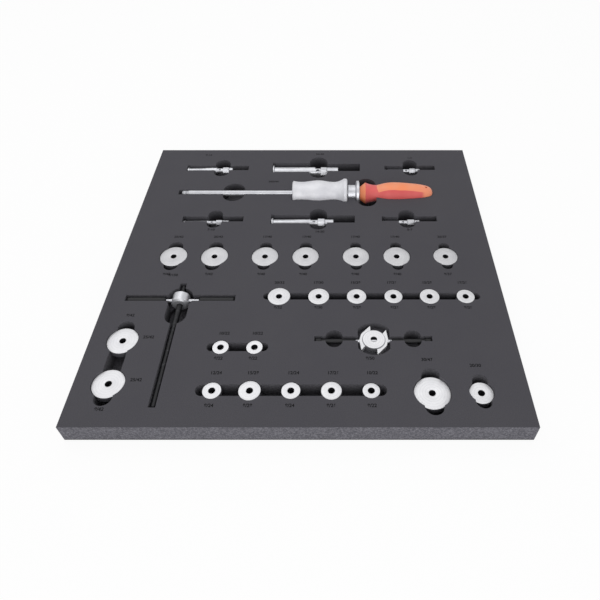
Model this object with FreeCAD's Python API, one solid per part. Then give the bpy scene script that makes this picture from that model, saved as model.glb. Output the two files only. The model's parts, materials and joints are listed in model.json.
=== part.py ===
import FreeCAD, Part
import math
import os
from collections import namedtuple

V = FreeCAD.Vector
ALONG_X = V(1, 0, 0)
ALONG_Y = V(0, 1, 0)
ALONG_Z = V(0, 0, 1)

# All sizes are in millimetres. The origin is the middle of the tray's underside, with X to
# the right, Y to the back and Z up. The tools lie in pockets cut down from the top face.

# Tray
TRAY_WIDTH = 564.0
TRAY_DEPTH = 567.0
FOAM_THICKNESS = 28.0
BASE_THICKNESS = 2.0
TOP = BASE_THICKNESS + FOAM_THICKNESS

# Fits and gaps
POCKET_CLEARANCE = 0.6
SEAT_GAP = 0.05
RUNNING_CLEARANCE = 0.06
FACE_GAP = 0.3
FINGER_DEPTH = 25.0

# Press drifts: turned discs with a bore for the press spindle and a pilot underneath
SPINDLE_DIAMETER = 8.0
DRIFT_BORE_CLEARANCE = 0.2
DRIFT_THICKNESS = 9.0
DRIFT_CHAMFER = 0.6
PILOT_LENGTH = 6.0
PILOT_CHAMFER = 0.5
PILOT_POCKET_CLEARANCE = 1.0
# Rows of drifts: (x, y, disc diameter, pilot diameter) of each one. A recess is how far the
# discs of a row lie below the tray's top face.
LARGE_ROW_Y = 0.8
LARGE_RECESS = 1.6
LARGE_DRIFTS = [(-204.0, LARGE_ROW_Y, 41.0, 25.0), (-141.6, LARGE_ROW_Y, 41.0, 25.0),
                (-64.5, LARGE_ROW_Y, 40.4, 17.0), (-2.5, LARGE_ROW_Y, 40.4, 17.0),
                (74.4, LARGE_ROW_Y, 40.4, 17.0), (136.6, LARGE_ROW_Y, 40.4, 17.0),
                (211.2, LARGE_ROW_Y, 36.8, 25.0)]
LARGE_SLOT_WIDTHS = [22.0, 22.0, 19.0, 19.0, 17.0, 17.0, 17.0]
LARGE_SLOT_LENGTHS = [60.8, 60.8, 59.4, 59.4, 59.4, 59.4, 56.2]

MEDIUM_ROW_Y = -81.0
MEDIUM_RECESS = 0.3
MEDIUM_DRIFTS = [(-37.0, MEDIUM_ROW_Y, 31.8, 20.0), (19.4, MEDIUM_ROW_Y, 29.8, 17.0),
                 (73.3, MEDIUM_ROW_Y, 27.6, 15.0), (125.7, MEDIUM_ROW_Y, 25.6, 17.0),
                 (177.2, MEDIUM_ROW_Y, 27.8, 15.0), (228.4, MEDIUM_ROW_Y, 25.4, 17.0)]
MEDIUM_SLOT_X = (-59.5, 249.0)
MEDIUM_SLOT_WIDTH = 12.6

LEFT_PAIR_X = -239.1
LEFT_RECESS = 2.6
LEFT_DRIFTS = [(LEFT_PAIR_X, -157.2, 41.0, 25.0), (LEFT_PAIR_X, -223.2, 41.0, 25.0)]
LEFT_SLOT_Y = (-255.5, -126.5)
LEFT_SLOT_WIDTH = 23.0

SMALL_PAIR_Y = -169.0
SMALL_RECESS = 0.6
SMALL_DRIFTS = [(-107.3, SMALL_PAIR_Y, 21.4, 10.0), (-62.8, SMALL_PAIR_Y, 21.4, 10.0)]
SMALL_SLOT_X = (-125.4, -44.6)
SMALL_SLOT_WIDTH = 13.6

LOWER_ROW_Y = -233.6
LOWER_RECESS = 1.2
LOWER_DRIFTS = [(-108.7, LOWER_ROW_Y, 23.4, 12.0), (-62.2, LOWER_ROW_Y, 27.6, 15.0),
                (-11.4, LOWER_ROW_Y, 23.6, 12.0), (38.5, LOWER_ROW_Y, 25.6, 17.0),
                (87.6, LOWER_ROW_Y, 21.6, 10.0)]
LOWER_SLOT_X = (-129.0, 107.0)
LOWER_SLOT_WIDTH = 16.6

RIGHT_ROW_Y = -234.8
RIGHT_RECESS = 5.0
RIGHT_DRIFTS = [(162.8, RIGHT_ROW_Y, 45.6, 30.0), (223.4, RIGHT_ROW_Y, 30.2, 20.0)]
RIGHT_SLOT_WIDTHS = [24.0, 20.0]
RIGHT_SLOT_LENGTHS = [66.0, 48.0]

DRIFT_GROUPS = {"large_drift": (LARGE_DRIFTS, LARGE_RECESS), "medium_drift": (MEDIUM_DRIFTS, MEDIUM_RECESS),
                "left_drift": (LEFT_DRIFTS, LEFT_RECESS), "small_drift": (SMALL_DRIFTS, SMALL_RECESS),
                "lower_drift": (LOWER_DRIFTS, LOWER_RECESS), "right_drift": (RIGHT_DRIFTS, RIGHT_RECESS)}

# Internal bearing extractors, which lie along X. In each one a slit collet sleeve with a
# lipped tip carries a hexagon nut on a drawing spindle with an expander cone.
Extractor = namedtuple("Extractor", [
    "name", "y", "depth", "tip_x", "shoulder_x", "neck_end_x", "nut_length", "stub_end_x",
    "tip_radius", "lip_radius", "collet_radius", "neck_radius", "nut_flats", "stub_radius",
    "rod_radius", "slot_end_x", "slot_width", "tail_width", "finger_x", "finger_width",
    "finger_length"])
EXTRACTORS = [
    Extractor("extractor_1", 226.8, 6.4, -224.6, -172.0, -161.6, 10.8, -143.7,
              4.5, 5.3, 5.6, 4.2, 10.4, 5.4, 2.2, -114.2, 14.4, 13.0, -161.9, 27.0, 49.0),
    Extractor("extractor_2", 228.6, 11.1, -70.2, 6.0, 15.6, 11.0, 47.6,
              9.2, 12.0, 9.3, 7.0, 15.6, 9.0, 3.6, 87.2, 27.0, 22.0, 12.2, 32.0, 62.0),
    Extractor("extractor_3", 227.6, 8.0, 133.0, 166.0, 176.4, 10.6, 196.0,
              2.8, 3.4, 3.4, 3.6, 8.6, 4.4, 1.6, 223.0, 9.0, 13.0, 178.2, 26.0, 47.0),
    Extractor("extractor_4", 86.3, 9.0, -205.6, -165.4, -153.6, 10.6, -132.0,
              3.4, 4.2, 4.0, 3.4, 8.2, 4.4, 1.6, -107.4, 11.6, 12.4, -154.0, 24.0, 43.0),
    Extractor("extractor_5", 86.0, 8.8, -61.4, 2.0, 13.6, 11.2, 39.8,
              5.8, 8.0, 6.3, 5.0, 12.4, 6.0, 2.6, 74.8, 20.6, 18.0, 15.0, 29.0, 51.0),
    Extractor("extractor_6", 86.6, 8.6, 120.0, 147.4, 160.4, 11.6, 181.0,
              2.6, 3.2, 3.2, 3.6, 8.8, 4.4, 1.6, 208.8, 7.6, 13.0, 159.8, 27.0, 44.0)]
LIP_LENGTH = 1.8
LIP_RAMP = 1.2
SLIT_WIDTH = 0.9
SLIT_SHARE = 0.62
CROSS_HOLE_SHARE = 0.5
NUT_CHAMFER = 1.0
NUT_GAP = 0.4
DRAW_TRAVEL = 3.0
CONE_LENGTH = 7.0
CONE_WALL = 1.1
STUB_THREAD_DEPTH = 8.0
STUB_THREAD_SHARE = 0.55
STUB_CHAMFER = 0.7

# Slide hammer, which lies along X
HAMMER_Y = 156.4
HAMMER_DEPTH = 2.6
ROD_RADIUS = 5.0
ROD_START_X = -220.6
THREAD_LENGTH = 11.0
THREAD_RADIUS = 4.2
ROD_CHAMFER = 0.8
WEIGHT_START_X = -30.2
WEIGHT_LENGTH = 93.2
WEIGHT_END_RADIUS = 21.2
WEIGHT_WAIST_RADIUS = 19.6
WEIGHT_BELLY_RADIUS = 22.2
WEIGHT_FLARE_RADIUS = 25.2
WEIGHT_EDGE = 1.6
WEIGHT_PLAY = 1.0
WEIGHT_STOP_GAP = 1.2
STOP_START_X = WEIGHT_START_X + WEIGHT_LENGTH + WEIGHT_STOP_GAP
STOP_SLEEVE_LENGTH = 12.4
STOP_SLEEVE_RADIUS = 14.4
STOP_FLANGE_LENGTH = 7.0
STOP_FLANGE_RADIUS = 21.6
STOP_CHAMFER = 0.8
STOP_HANDLE_GAP = 1.0
HANDLE_START_X = STOP_START_X + STOP_SLEEVE_LENGTH + STOP_FLANGE_LENGTH + STOP_HANDLE_GAP
ROD_END_X = HANDLE_START_X + 65.4
COLLAR_LENGTH = 9.4
COLLAR_FACE_RADIUS = 11.0
COLLAR_RADIUS = 18.4
NECK_X = HANDLE_START_X + 26.9
NECK_RADIUS = 14.2
GRIP_BELLY_X = HANDLE_START_X + 61.4
GRIP_BELLY_RADIUS = 18.8
GRIP_SHOULDER_X = HANDLE_START_X + 113.4
GRIP_SHOULDER_RADIUS = 13.2
HANDLE_END_X = HANDLE_START_X + 124.6
HANDLE_NOSE_RADIUS = 5.0
PANEL_START_X = HANDLE_START_X + 28.4
PANEL_END_X = HANDLE_START_X + 107.4
PANEL_HALF_WIDTH = 11.0
CORE_STEM_RADIUS = 8.0
HANG_HOLE_X = HANDLE_START_X + 113.4
HANG_HOLE_RADIUS = 2.2
HAMMER_SLOT_START_X = -227.0
ROD_SLOT_WIDTH = 12.4
ROD_FINGER_X = -132.0
ROD_FINGER_WIDTH = 38.0
ROD_FINGER_LENGTH = 48.0
GRIP_FINGER_X = HANDLE_START_X + 12.2
GRIP_FINGER_WIDTH = 32.0
GRIP_FINGER_LENGTH = 76.0

# Press handle: a hub and its spindle along Y, with a cross bar along X
PRESS_X = -177.0
PRESS_DEPTH = 6.6
HUB_Y = -84.0
HUB_LENGTH = 16.4
HUB_RADIUS = 12.2
HUB_FRONT_CHAMFER = 3.0
HUB_BACK_CHAMFER = 1.0
HUB_POCKET_RADIUS = 18.5
SPINDLE_FRONT_Y = -255.6
SPINDLE_BACK_Y = -58.4
SPINDLE_CHAMFER = 1.0
SPINDLE_SLOT_Y = (-257.5, -56.5)
PRESS_BAR_RADIUS = 2.5
PRESS_BAR_X = (-252.6, -100.6)
PRESS_GRIP_RADIUS = 5.0
PRESS_GRIP_X = (-197.4, -151.0)
PRESS_GRIP_ROUND = 2.0
PRESS_FINGER_WIDTH = 30.0
PRESS_FINGER_FRONT_Y = -130.5
GRIP_OVERHANG = 0.6
BAR_PLAY = 1.3

# Star nut: a bladed plate with a hub, which screws on the spindle, and its own cross bar
STAR_X = 94.4
STAR_Y = -155.4
STAR_RECESS = 1.6
STAR_HUB_RADIUS = 15.0
STAR_HUB_RISE = 1.2
STAR_PLATE_THICKNESS = 9.0
STAR_TIP_RADIUS = 23.6
STAR_HEEL_RADIUS = 19.2
STAR_BLADE_TURN = 162.0
STAR_TIP_TURN = 62.0
STAR_HEEL_TURNS = (-12.0, 20.0)
STAR_HOOK_TURN = 5.0
STAR_BORE_CLEARANCE = 0.15
STAR_POCKET_RADIUS = 26.4
STAR_POCKET_HALF_WIDTH = 21.2
STAR_BAR_RADIUS = 2.5
STAR_BAR_X = (17.2, 170.0)
STAR_BAR_DEPTH = 6.4
STAR_GRIP_RADIUS = 3.1
STAR_GRIP_GAP = 24.0
STAR_GRIP_ROUND = 0.4
STAR_CAP_RADIUS = 4.0
STAR_CAP_LENGTH = 8.0
STAR_FINGER_X = (41.6, 146.0)
STAR_FINGER_WIDTH = 23.0
STAR_FINGER_LENGTH = 28.0


def block(x0, x1, y0, y1, z0, z1):
    return Part.makeBox(x1 - x0, y1 - y0, z1 - z0, V(x0, y0, z0))


def post(x, y, radius, z0, z1):
    return Part.makeCylinder(radius, z1 - z0, V(x, y, z0), ALONG_Z)


def obround(x, y, size_x, size_y, z0, z1):
    """Upright slot with full round ends on its longer side."""
    radius = min(size_x, size_y) / 2
    reach_x = size_x / 2 - radius
    reach_y = size_y / 2 - radius
    ends = [post(x - reach_x, y - reach_y, radius, z0, z1), post(x + reach_x, y + reach_y, radius, z0, z1)]
    if size_x > size_y:
        middle = block(x - reach_x, x + reach_x, y - radius, y + radius, z0, z1)
    else:
        middle = block(x - radius, x + radius, y - reach_y, y + reach_y, z0, z1)
    return middle.fuse(ends).removeSplitter()


def turned(points, origin, axis, outward):
    """Solid of revolution from (distance along the axis, radius) points."""
    corners = [origin + axis * along + outward * radius for along, radius in points]
    face = Part.Face(Part.makePolygon(corners + corners[:1]))
    return face.revolve(origin, axis, 360)


def turned_x(points, y, z):
    return turned(points, V(0, y, z), ALONG_X, ALONG_Z)


def turned_y(points, x, z):
    return turned(points, V(x, 0, z), ALONG_Y, ALONG_X)


def turned_z(points, x, y):
    return turned(points, V(x, y, 0), ALONG_Z, ALONG_X)


def spline_edge(points):
    curve = Part.BSplineCurve()
    curve.interpolate(points)
    return curve.toShape()


def save(name, shape):
    shape.exportStep("parts/" + name + ".step")


def drift(x, y, diameter, pilot_diameter, recess):
    """Turned disc, bore open through its pilot, top face below the tray's top."""
    bore = SPINDLE_DIAMETER / 2 + DRIFT_BORE_CLEARANCE
    rim = diameter / 2
    pilot = pilot_diameter / 2
    top = TOP - recess
    seat = top - DRIFT_THICKNESS
    foot = seat - PILOT_LENGTH
    edge = DRIFT_CHAMFER
    return turned_z([
        (foot, bore), (foot, pilot - PILOT_CHAMFER), (foot + PILOT_CHAMFER, pilot),
        (seat, pilot), (seat, rim - edge), (seat + edge, rim),
        (top - edge, rim), (top, rim - edge), (top, bore + edge), (top - edge, bore)], x, y)


def drift_pocket(x, y, diameter, pilot_diameter, recess):
    floor = TOP - recess - DRIFT_THICKNESS - SEAT_GAP
    pilot_floor = floor - PILOT_LENGTH - POCKET_CLEARANCE
    pilot = pilot_diameter / 2
    return [post(x, y, diameter / 2 + POCKET_CLEARANCE, floor, TOP),
            post(x, y, pilot + PILOT_POCKET_CLEARANCE, pilot_floor, floor)]


def across_slots(drifts, widths, lengths):
    """Finger slots under single drifts, from front to back of each."""
    floor = TOP - FINGER_DEPTH
    return [obround(place[0], place[1], width, length, floor, TOP)
            for place, width, length in zip(drifts, widths, lengths)]


def shared_slot_x(span, y, width):
    return obround(sum(span) / 2, y, span[1] - span[0], width, TOP - FINGER_DEPTH, TOP)


def shared_slot_y(x, span, width):
    return obround(x, sum(span) / 2, width, span[1] - span[0], TOP - FINGER_DEPTH, TOP)


def extractor_places(e):
    """Where the nut, stub and expander cone of one extractor lie along X."""
    nut_start = e.neck_end_x + NUT_GAP
    nut_end = nut_start + e.nut_length
    stub_start = nut_end + NUT_GAP
    cone_start = e.tip_x + 0.5
    return nut_start, nut_end, stub_start, cone_start


def cone_radius(e):
    return max(e.rod_radius + 0.5, e.tip_radius - CONE_WALL)


def collet(e):
    """Sleeve with a lipped, slit tip, a cone seat inside it and a cross-drilled neck."""
    z = TOP - e.depth
    bore = e.rod_radius + RUNNING_CLEARANCE
    mouth = cone_radius(e) + RUNNING_CLEARANCE
    seat_start = e.tip_x + 0.5 + DRAW_TRAVEL + CONE_LENGTH * 0.5
    seat_end = seat_start + CONE_LENGTH
    body = turned_x([
        (e.tip_x, mouth), (e.tip_x, e.lip_radius), (e.tip_x + LIP_LENGTH, e.lip_radius),
        (e.tip_x + LIP_LENGTH + LIP_RAMP, e.tip_radius), (e.shoulder_x, e.collet_radius),
        (e.shoulder_x, e.neck_radius), (e.neck_end_x, e.neck_radius), (e.neck_end_x, bore),
        (seat_end, bore), (seat_start, mouth)], e.y, z)
    slit_end = e.tip_x + (e.shoulder_x - e.tip_x) * SLIT_SHARE
    reach = e.lip_radius + e.collet_radius
    start = e.tip_x - LIP_LENGTH
    half = SLIT_WIDTH / 2
    upright = block(start, slit_end, e.y - half, e.y + half, z - reach, z + reach)
    level = block(start, slit_end, e.y - reach, e.y + reach, z - half, z + half)
    middle_x = (e.shoulder_x + e.neck_end_x) / 2
    hole = Part.makeCylinder(e.neck_radius * CROSS_HOLE_SHARE, 3 * reach,
                             V(middle_x, e.y - reach, z + reach * 1.5), V(0, 2, -3))
    hole.translate(V(middle_x, e.y, z) - hole.CenterOfMass)
    return body.cut([upright, level, hole])


def nut(e):
    """Hexagon nut with both faces chamfered, free to turn on the spindle."""
    z = TOP - e.depth
    start, end, _, _ = extractor_places(e)
    corner = e.nut_flats / 2 / math.cos(math.pi / 6)
    corners = [V(start, e.y + corner * math.cos(k * math.pi / 3), z + corner * math.sin(k * math.pi / 3))
               for k in range(6)]
    hexagon = Part.Face(Part.makePolygon(corners + corners[:1])).extrude(ALONG_X * (end - start))
    low = corner - NUT_CHAMFER
    bore = e.rod_radius + RUNNING_CLEARANCE
    blank = turned_x([(start, bore), (start, low), (start + NUT_CHAMFER / 2, corner),
                      (end - NUT_CHAMFER / 2, corner), (end, low), (end, bore)], e.y, z)
    return hexagon.common(blank)


def draw_spindle(e):
    """Rod with the expander cone at its tip and a threaded stub for the slide hammer."""
    z = TOP - e.depth
    _, _, stub_start, cone_start = extractor_places(e)
    thread = e.stub_radius * STUB_THREAD_SHARE
    return turned_x([
        (cone_start, 0), (cone_start, cone_radius(e)),
        (cone_start + CONE_LENGTH * 0.5, cone_radius(e)),
        (cone_start + CONE_LENGTH * 1.5, e.rod_radius), (stub_start, e.rod_radius),
        (stub_start, e.stub_radius - STUB_CHAMFER), (stub_start + STUB_CHAMFER, e.stub_radius),
        (e.stub_end_x - STUB_CHAMFER, e.stub_radius), (e.stub_end_x, e.stub_radius - STUB_CHAMFER),
        (e.stub_end_x, thread), (e.stub_end_x - STUB_THREAD_DEPTH, thread),
        (e.stub_end_x - STUB_THREAD_DEPTH, 0)], e.y, z)


def extractor_pocket(e):
    """Slot to the sleeve's depth, a tail the stub can draw back into, and a finger hole."""
    z = TOP - e.depth
    biggest = max(e.collet_radius, e.stub_radius, e.tip_radius)
    floor = z - biggest - SEAT_GAP
    start = e.tip_x - POCKET_CLEARANCE
    half = max(e.slot_width / 2, biggest + POCKET_CLEARANCE)
    tail = max(e.tail_width / 2, e.stub_radius + POCKET_CLEARANCE)
    finger_floor = min(TOP - FINGER_DEPTH, z - e.nut_flats)
    lip_end = e.tip_x + LIP_LENGTH + LIP_RAMP + POCKET_CLEARANCE
    lip_half = max(half, e.lip_radius) + 2 * POCKET_CLEARANCE
    return [
        block(start, e.finger_x, e.y - half, e.y + half, floor, TOP),
        block(e.finger_x, e.slot_end_x, e.y - tail, e.y + tail, floor, TOP),
        block(start - POCKET_CLEARANCE, lip_end, e.y - lip_half, e.y + lip_half,
              z - e.lip_radius - SEAT_GAP, TOP),
        obround(e.finger_x, e.y, e.finger_width, e.finger_length, finger_floor, TOP)]


def hammer_rod():
    z = TOP - HAMMER_DEPTH
    shoulder = ROD_START_X + THREAD_LENGTH
    return turned_x([
        (ROD_START_X, 0), (ROD_START_X, THREAD_RADIUS - ROD_CHAMFER),
        (ROD_START_X + ROD_CHAMFER, THREAD_RADIUS), (shoulder, THREAD_RADIUS),
        (shoulder, ROD_RADIUS - ROD_CHAMFER / 2), (shoulder + ROD_CHAMFER / 2, ROD_RADIUS),
        (ROD_END_X, ROD_RADIUS), (ROD_END_X, 0)], HAMMER_Y, z)


def weight_outline():
    """(x, radius) points of the weight's waisted side, from its left end to the flare."""
    start = WEIGHT_START_X
    length = WEIGHT_LENGTH
    return [(start + WEIGHT_EDGE, WEIGHT_END_RADIUS),
            (start + 0.17 * length, WEIGHT_WAIST_RADIUS),
            (start + 0.49 * length, WEIGHT_BELLY_RADIUS),
            (start + 0.78 * length, WEIGHT_WAIST_RADIUS),
            (start + 0.94 * length, WEIGHT_FLARE_RADIUS)]


def hammer_weight():
    z = TOP - HAMMER_DEPTH
    start = WEIGHT_START_X
    end = start + WEIGHT_LENGTH
    bore = ROD_RADIUS + RUNNING_CLEARANCE
    side = [V(x, HAMMER_Y + radius, z) for x, radius in weight_outline()]
    corners = [side[-1], V(end - WEIGHT_EDGE, HAMMER_Y + WEIGHT_FLARE_RADIUS - 0.2, z),
               V(end, HAMMER_Y + WEIGHT_FLARE_RADIUS - WEIGHT_EDGE, z), V(end, HAMMER_Y + bore, z),
               V(start, HAMMER_Y + bore, z), V(start, HAMMER_Y + WEIGHT_END_RADIUS - WEIGHT_EDGE, z),
               side[0]]
    edges = [spline_edge(side)] + [Part.makeLine(a, b) for a, b in zip(corners, corners[1:])]
    return Part.Face(Part.Wire(edges)).revolve(V(0, HAMMER_Y, z), ALONG_X, 360)


def hammer_stop():
    """Sleeve and flange that the weight strikes, fixed on the rod before the handle."""
    z = TOP - HAMMER_DEPTH
    flange = STOP_START_X + STOP_SLEEVE_LENGTH
    end = flange + STOP_FLANGE_LENGTH
    edge = STOP_CHAMFER
    return turned_x([
        (STOP_START_X, ROD_RADIUS), (STOP_START_X, STOP_SLEEVE_RADIUS - edge),
        (STOP_START_X + edge, STOP_SLEEVE_RADIUS), (flange, STOP_SLEEVE_RADIUS),
        (flange + STOP_FLANGE_LENGTH / 3, STOP_FLANGE_RADIUS), (end - edge, STOP_FLANGE_RADIUS),
        (end, STOP_FLANGE_RADIUS - edge), (end, ROD_RADIUS)], HAMMER_Y, z)


def handle_outline(clearance=0.0):
    """(x, radius) points of the handle's side, from the collar's rim to its rounded end."""
    points = [(HANDLE_START_X + COLLAR_LENGTH, COLLAR_RADIUS),
              (NECK_X - 0.4 * (NECK_X - HANDLE_START_X - COLLAR_LENGTH), NECK_RADIUS + 0.9),
              (NECK_X, NECK_RADIUS),
              (0.6 * NECK_X + 0.4 * GRIP_BELLY_X, 0.4 * NECK_RADIUS + 0.6 * GRIP_BELLY_RADIUS),
              (GRIP_BELLY_X, GRIP_BELLY_RADIUS),
              ((GRIP_BELLY_X + GRIP_SHOULDER_X) / 2, 0.3 * GRIP_SHOULDER_RADIUS + 0.7 * GRIP_BELLY_RADIUS),
              (GRIP_SHOULDER_X, GRIP_SHOULDER_RADIUS),
              (HANDLE_END_X - 2.6, HANDLE_NOSE_RADIUS + 4.0),
              (HANDLE_END_X, HANDLE_NOSE_RADIUS)]
    return [(x, radius + clearance) for x, radius in points]


def handle_blank():
    """The whole handle as one turned form: collar, neck, belly and rounded end."""
    z = TOP - HAMMER_DEPTH
    side = [V(x, HAMMER_Y + radius, z) for x, radius in handle_outline()]
    corners = [side[-1], V(HANDLE_END_X, HAMMER_Y, z), V(ROD_END_X, HAMMER_Y, z),
               V(ROD_END_X, HAMMER_Y + ROD_RADIUS, z), V(HANDLE_START_X, HAMMER_Y + ROD_RADIUS, z),
               V(HANDLE_START_X, HAMMER_Y + COLLAR_FACE_RADIUS, z), side[0]]
    edges = [spline_edge(side)] + [Part.makeLine(a, b) for a, b in zip(corners, corners[1:])]
    blank = Part.Face(Part.Wire(edges)).revolve(V(0, HAMMER_Y, z), ALONG_X, 360)
    hole = post(HANG_HOLE_X, HAMMER_Y, HANG_HOLE_RADIUS, z - GRIP_BELLY_RADIUS, z + GRIP_BELLY_RADIUS)
    return blank.cut(hole)


def core_region():
    """What belongs to the hard core: the collar's cone, a stem, and an upright lens between them."""
    z = TOP - HAMMER_DEPTH
    low = z - 2 * GRIP_BELLY_RADIUS
    middle = (PANEL_START_X + PANEL_END_X) / 2
    left = V(PANEL_START_X, HAMMER_Y, low)
    right = V(PANEL_END_X, HAMMER_Y, low)
    back = Part.Arc(left, V(middle, HAMMER_Y + PANEL_HALF_WIDTH, low), right).toShape()
    front = Part.Arc(right, V(middle, HAMMER_Y - PANEL_HALF_WIDTH, low), left).toShape()
    lens = Part.Face(Part.Wire([back, front])).extrude(ALONG_Z * (4 * GRIP_BELLY_RADIUS))
    axis_start = V(HANDLE_START_X, HAMMER_Y, z)
    stem = Part.makeCylinder(CORE_STEM_RADIUS, middle - HANDLE_START_X, axis_start, ALONG_X)
    collar = Part.makeCylinder(COLLAR_RADIUS + 1.0, COLLAR_LENGTH, axis_start, ALONG_X)
    return lens.fuse([stem, collar])


def profile_pocket(points, floor):
    """Pocket whose two sides are smooth curves through (x, half width) points."""
    back = [V(x, HAMMER_Y + half, floor) for x, half in points]
    front = [V(x, HAMMER_Y - half, floor) for x, half in points]
    edges = [spline_edge(back), Part.makeLine(back[-1], front[-1]), spline_edge(front[::-1]),
             Part.makeLine(front[0], back[0])]
    return Part.Face(Part.Wire(edges)).extrude(ALONG_Z * (TOP - floor))


def hammer_pocket():
    """Stepped pocket that follows the hammer: rod slot, weight, stop, handle, two finger holes."""
    z = TOP - HAMMER_DEPTH
    gap = POCKET_CLEARANCE
    weight_start = WEIGHT_START_X - WEIGHT_PLAY - FACE_GAP
    weight_end = WEIGHT_START_X + WEIGHT_LENGTH + WEIGHT_PLAY + FACE_GAP
    weight_sides = [(x, radius + gap + FACE_GAP) for x, radius in weight_outline()]
    flare_x = weight_sides[-2][0]
    flange_x = STOP_START_X + STOP_SLEEVE_LENGTH - FACE_GAP
    collar_x = HANDLE_START_X + COLLAR_LENGTH + FACE_GAP
    handle_end = HANDLE_END_X + gap
    half_rod = ROD_SLOT_WIDTH / 2
    half_end = WEIGHT_END_RADIUS + gap
    half_flare = WEIGHT_FLARE_RADIUS + gap
    half_stop = STOP_SLEEVE_RADIUS + 2 * gap
    half_flange = STOP_FLANGE_RADIUS + gap
    half_collar = COLLAR_RADIUS + gap
    nose = HANDLE_NOSE_RADIUS + 2 * gap
    weight_floor = z - WEIGHT_BELLY_RADIUS - SEAT_GAP
    handle_floor = z - GRIP_BELLY_RADIUS - SEAT_GAP
    finger_floor = TOP - FINGER_DEPTH
    return [
        block(HAMMER_SLOT_START_X, WEIGHT_START_X, HAMMER_Y - half_rod, HAMMER_Y + half_rod,
              z - ROD_RADIUS - SEAT_GAP, TOP),
        block(weight_start, weight_sides[0][0], HAMMER_Y - half_end, HAMMER_Y + half_end,
              weight_floor, TOP),
        profile_pocket(weight_sides, weight_floor),
        block(weight_sides[-1][0], weight_end, HAMMER_Y - half_flare, HAMMER_Y + half_flare,
              weight_floor, TOP),
        block(flare_x, weight_end, HAMMER_Y - half_stop, HAMMER_Y + half_stop, BASE_THICKNESS, TOP),
        block(weight_end, flange_x, HAMMER_Y - half_stop, HAMMER_Y + half_stop,
              z - STOP_SLEEVE_RADIUS - SEAT_GAP, TOP),
        block(flange_x, HANDLE_START_X, HAMMER_Y - half_flange, HAMMER_Y + half_flange,
              z - STOP_FLANGE_RADIUS - SEAT_GAP, TOP),
        block(HANDLE_START_X, collar_x, HAMMER_Y - half_collar, HAMMER_Y + half_collar,
              handle_floor, TOP),
        profile_pocket(handle_outline(gap), handle_floor),
        block(HANDLE_END_X, handle_end, HAMMER_Y - nose, HAMMER_Y + nose, handle_floor, TOP),
        obround(ROD_FINGER_X, HAMMER_Y, ROD_FINGER_WIDTH, ROD_FINGER_LENGTH, finger_floor, TOP),
        obround(GRIP_FINGER_X, HAMMER_Y, GRIP_FINGER_WIDTH, GRIP_FINGER_LENGTH, finger_floor, TOP)]


def press_spindle():
    z = TOP - PRESS_DEPTH
    radius = SPINDLE_DIAMETER / 2
    edge = SPINDLE_CHAMFER
    return turned_y([(SPINDLE_FRONT_Y, 0), (SPINDLE_FRONT_Y, radius - edge),
                     (SPINDLE_FRONT_Y + edge, radius), (SPINDLE_BACK_Y - edge, radius),
                     (SPINDLE_BACK_Y, radius - edge), (SPINDLE_BACK_Y, 0)], PRESS_X, z)


def cross_bar(span, radius, y, z):
    return Part.makeCylinder(radius, span[1] - span[0], V(span[0], y, z), ALONG_X)


def grip_sleeve(start, end, z):
    inner = PRESS_BAR_RADIUS
    outer = PRESS_GRIP_RADIUS
    edge = PRESS_GRIP_ROUND
    return turned_x([(start, inner), (start, outer - edge), (start + edge, outer),
                     (end - edge, outer), (end, outer - edge), (end, inner)], HUB_Y, z)


def press_parts():
    """Hub on its spindle, and a cross bar through both with a grip sleeve on each end."""
    z = TOP - PRESS_DEPTH
    front = HUB_Y - HUB_LENGTH / 2
    back = HUB_Y + HUB_LENGTH / 2
    slack = PRESS_BAR_RADIUS + RUNNING_CLEARANCE
    bar_hole = cross_bar((PRESS_X - 2 * HUB_RADIUS, PRESS_X + 2 * HUB_RADIUS), slack, HUB_Y, z)
    hub = turned_y([
        (front, SPINDLE_DIAMETER / 2), (front, HUB_RADIUS - HUB_FRONT_CHAMFER),
        (front + HUB_FRONT_CHAMFER / 2, HUB_RADIUS), (back - HUB_BACK_CHAMFER, HUB_RADIUS),
        (back, HUB_RADIUS - HUB_BACK_CHAMFER), (back, SPINDLE_DIAMETER / 2)], PRESS_X, z).cut(bar_hole)
    bar = cross_bar(PRESS_BAR_X, PRESS_BAR_RADIUS, HUB_Y, z)
    grips = [grip_sleeve(PRESS_BAR_X[0] - GRIP_OVERHANG, PRESS_GRIP_X[0], z),
             grip_sleeve(PRESS_GRIP_X[1], PRESS_BAR_X[1] + GRIP_OVERHANG, z)]
    return {"press_spindle": press_spindle().cut(bar_hole), "press_hub": hub, "press_cross_bar": bar,
            "press_bar_grips": Part.makeCompound(grips)}


def press_pocket():
    z = TOP - PRESS_DEPTH
    half_slot = SPINDLE_DIAMETER / 2 + POCKET_CLEARANCE
    half_bar = PRESS_GRIP_RADIUS + POCKET_CLEARANCE
    start = PRESS_BAR_X[0] - GRIP_OVERHANG - BAR_PLAY
    end = PRESS_BAR_X[1] + GRIP_OVERHANG + BAR_PLAY
    hub_floor = z - HUB_RADIUS - SEAT_GAP
    finger_back = HUB_Y
    return [
        block(PRESS_X - half_slot, PRESS_X + half_slot, SPINDLE_SLOT_Y[0], SPINDLE_SLOT_Y[1],
              z - SPINDLE_DIAMETER / 2 - SEAT_GAP, TOP),
        block(start, end, HUB_Y - half_bar, HUB_Y + half_bar, z - PRESS_GRIP_RADIUS - SEAT_GAP, TOP),
        post(PRESS_X, HUB_Y, HUB_POCKET_RADIUS, hub_floor, TOP),
        obround(PRESS_X, (PRESS_FINGER_FRONT_Y + finger_back) / 2, PRESS_FINGER_WIDTH,
                finger_back - PRESS_FINGER_FRONT_Y, TOP - FINGER_DEPTH, TOP)]


def star_point(turn, radius, z):
    angle = math.radians(turn)
    return V(STAR_X + radius * math.cos(angle), STAR_Y + radius * math.sin(angle), z)


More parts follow.
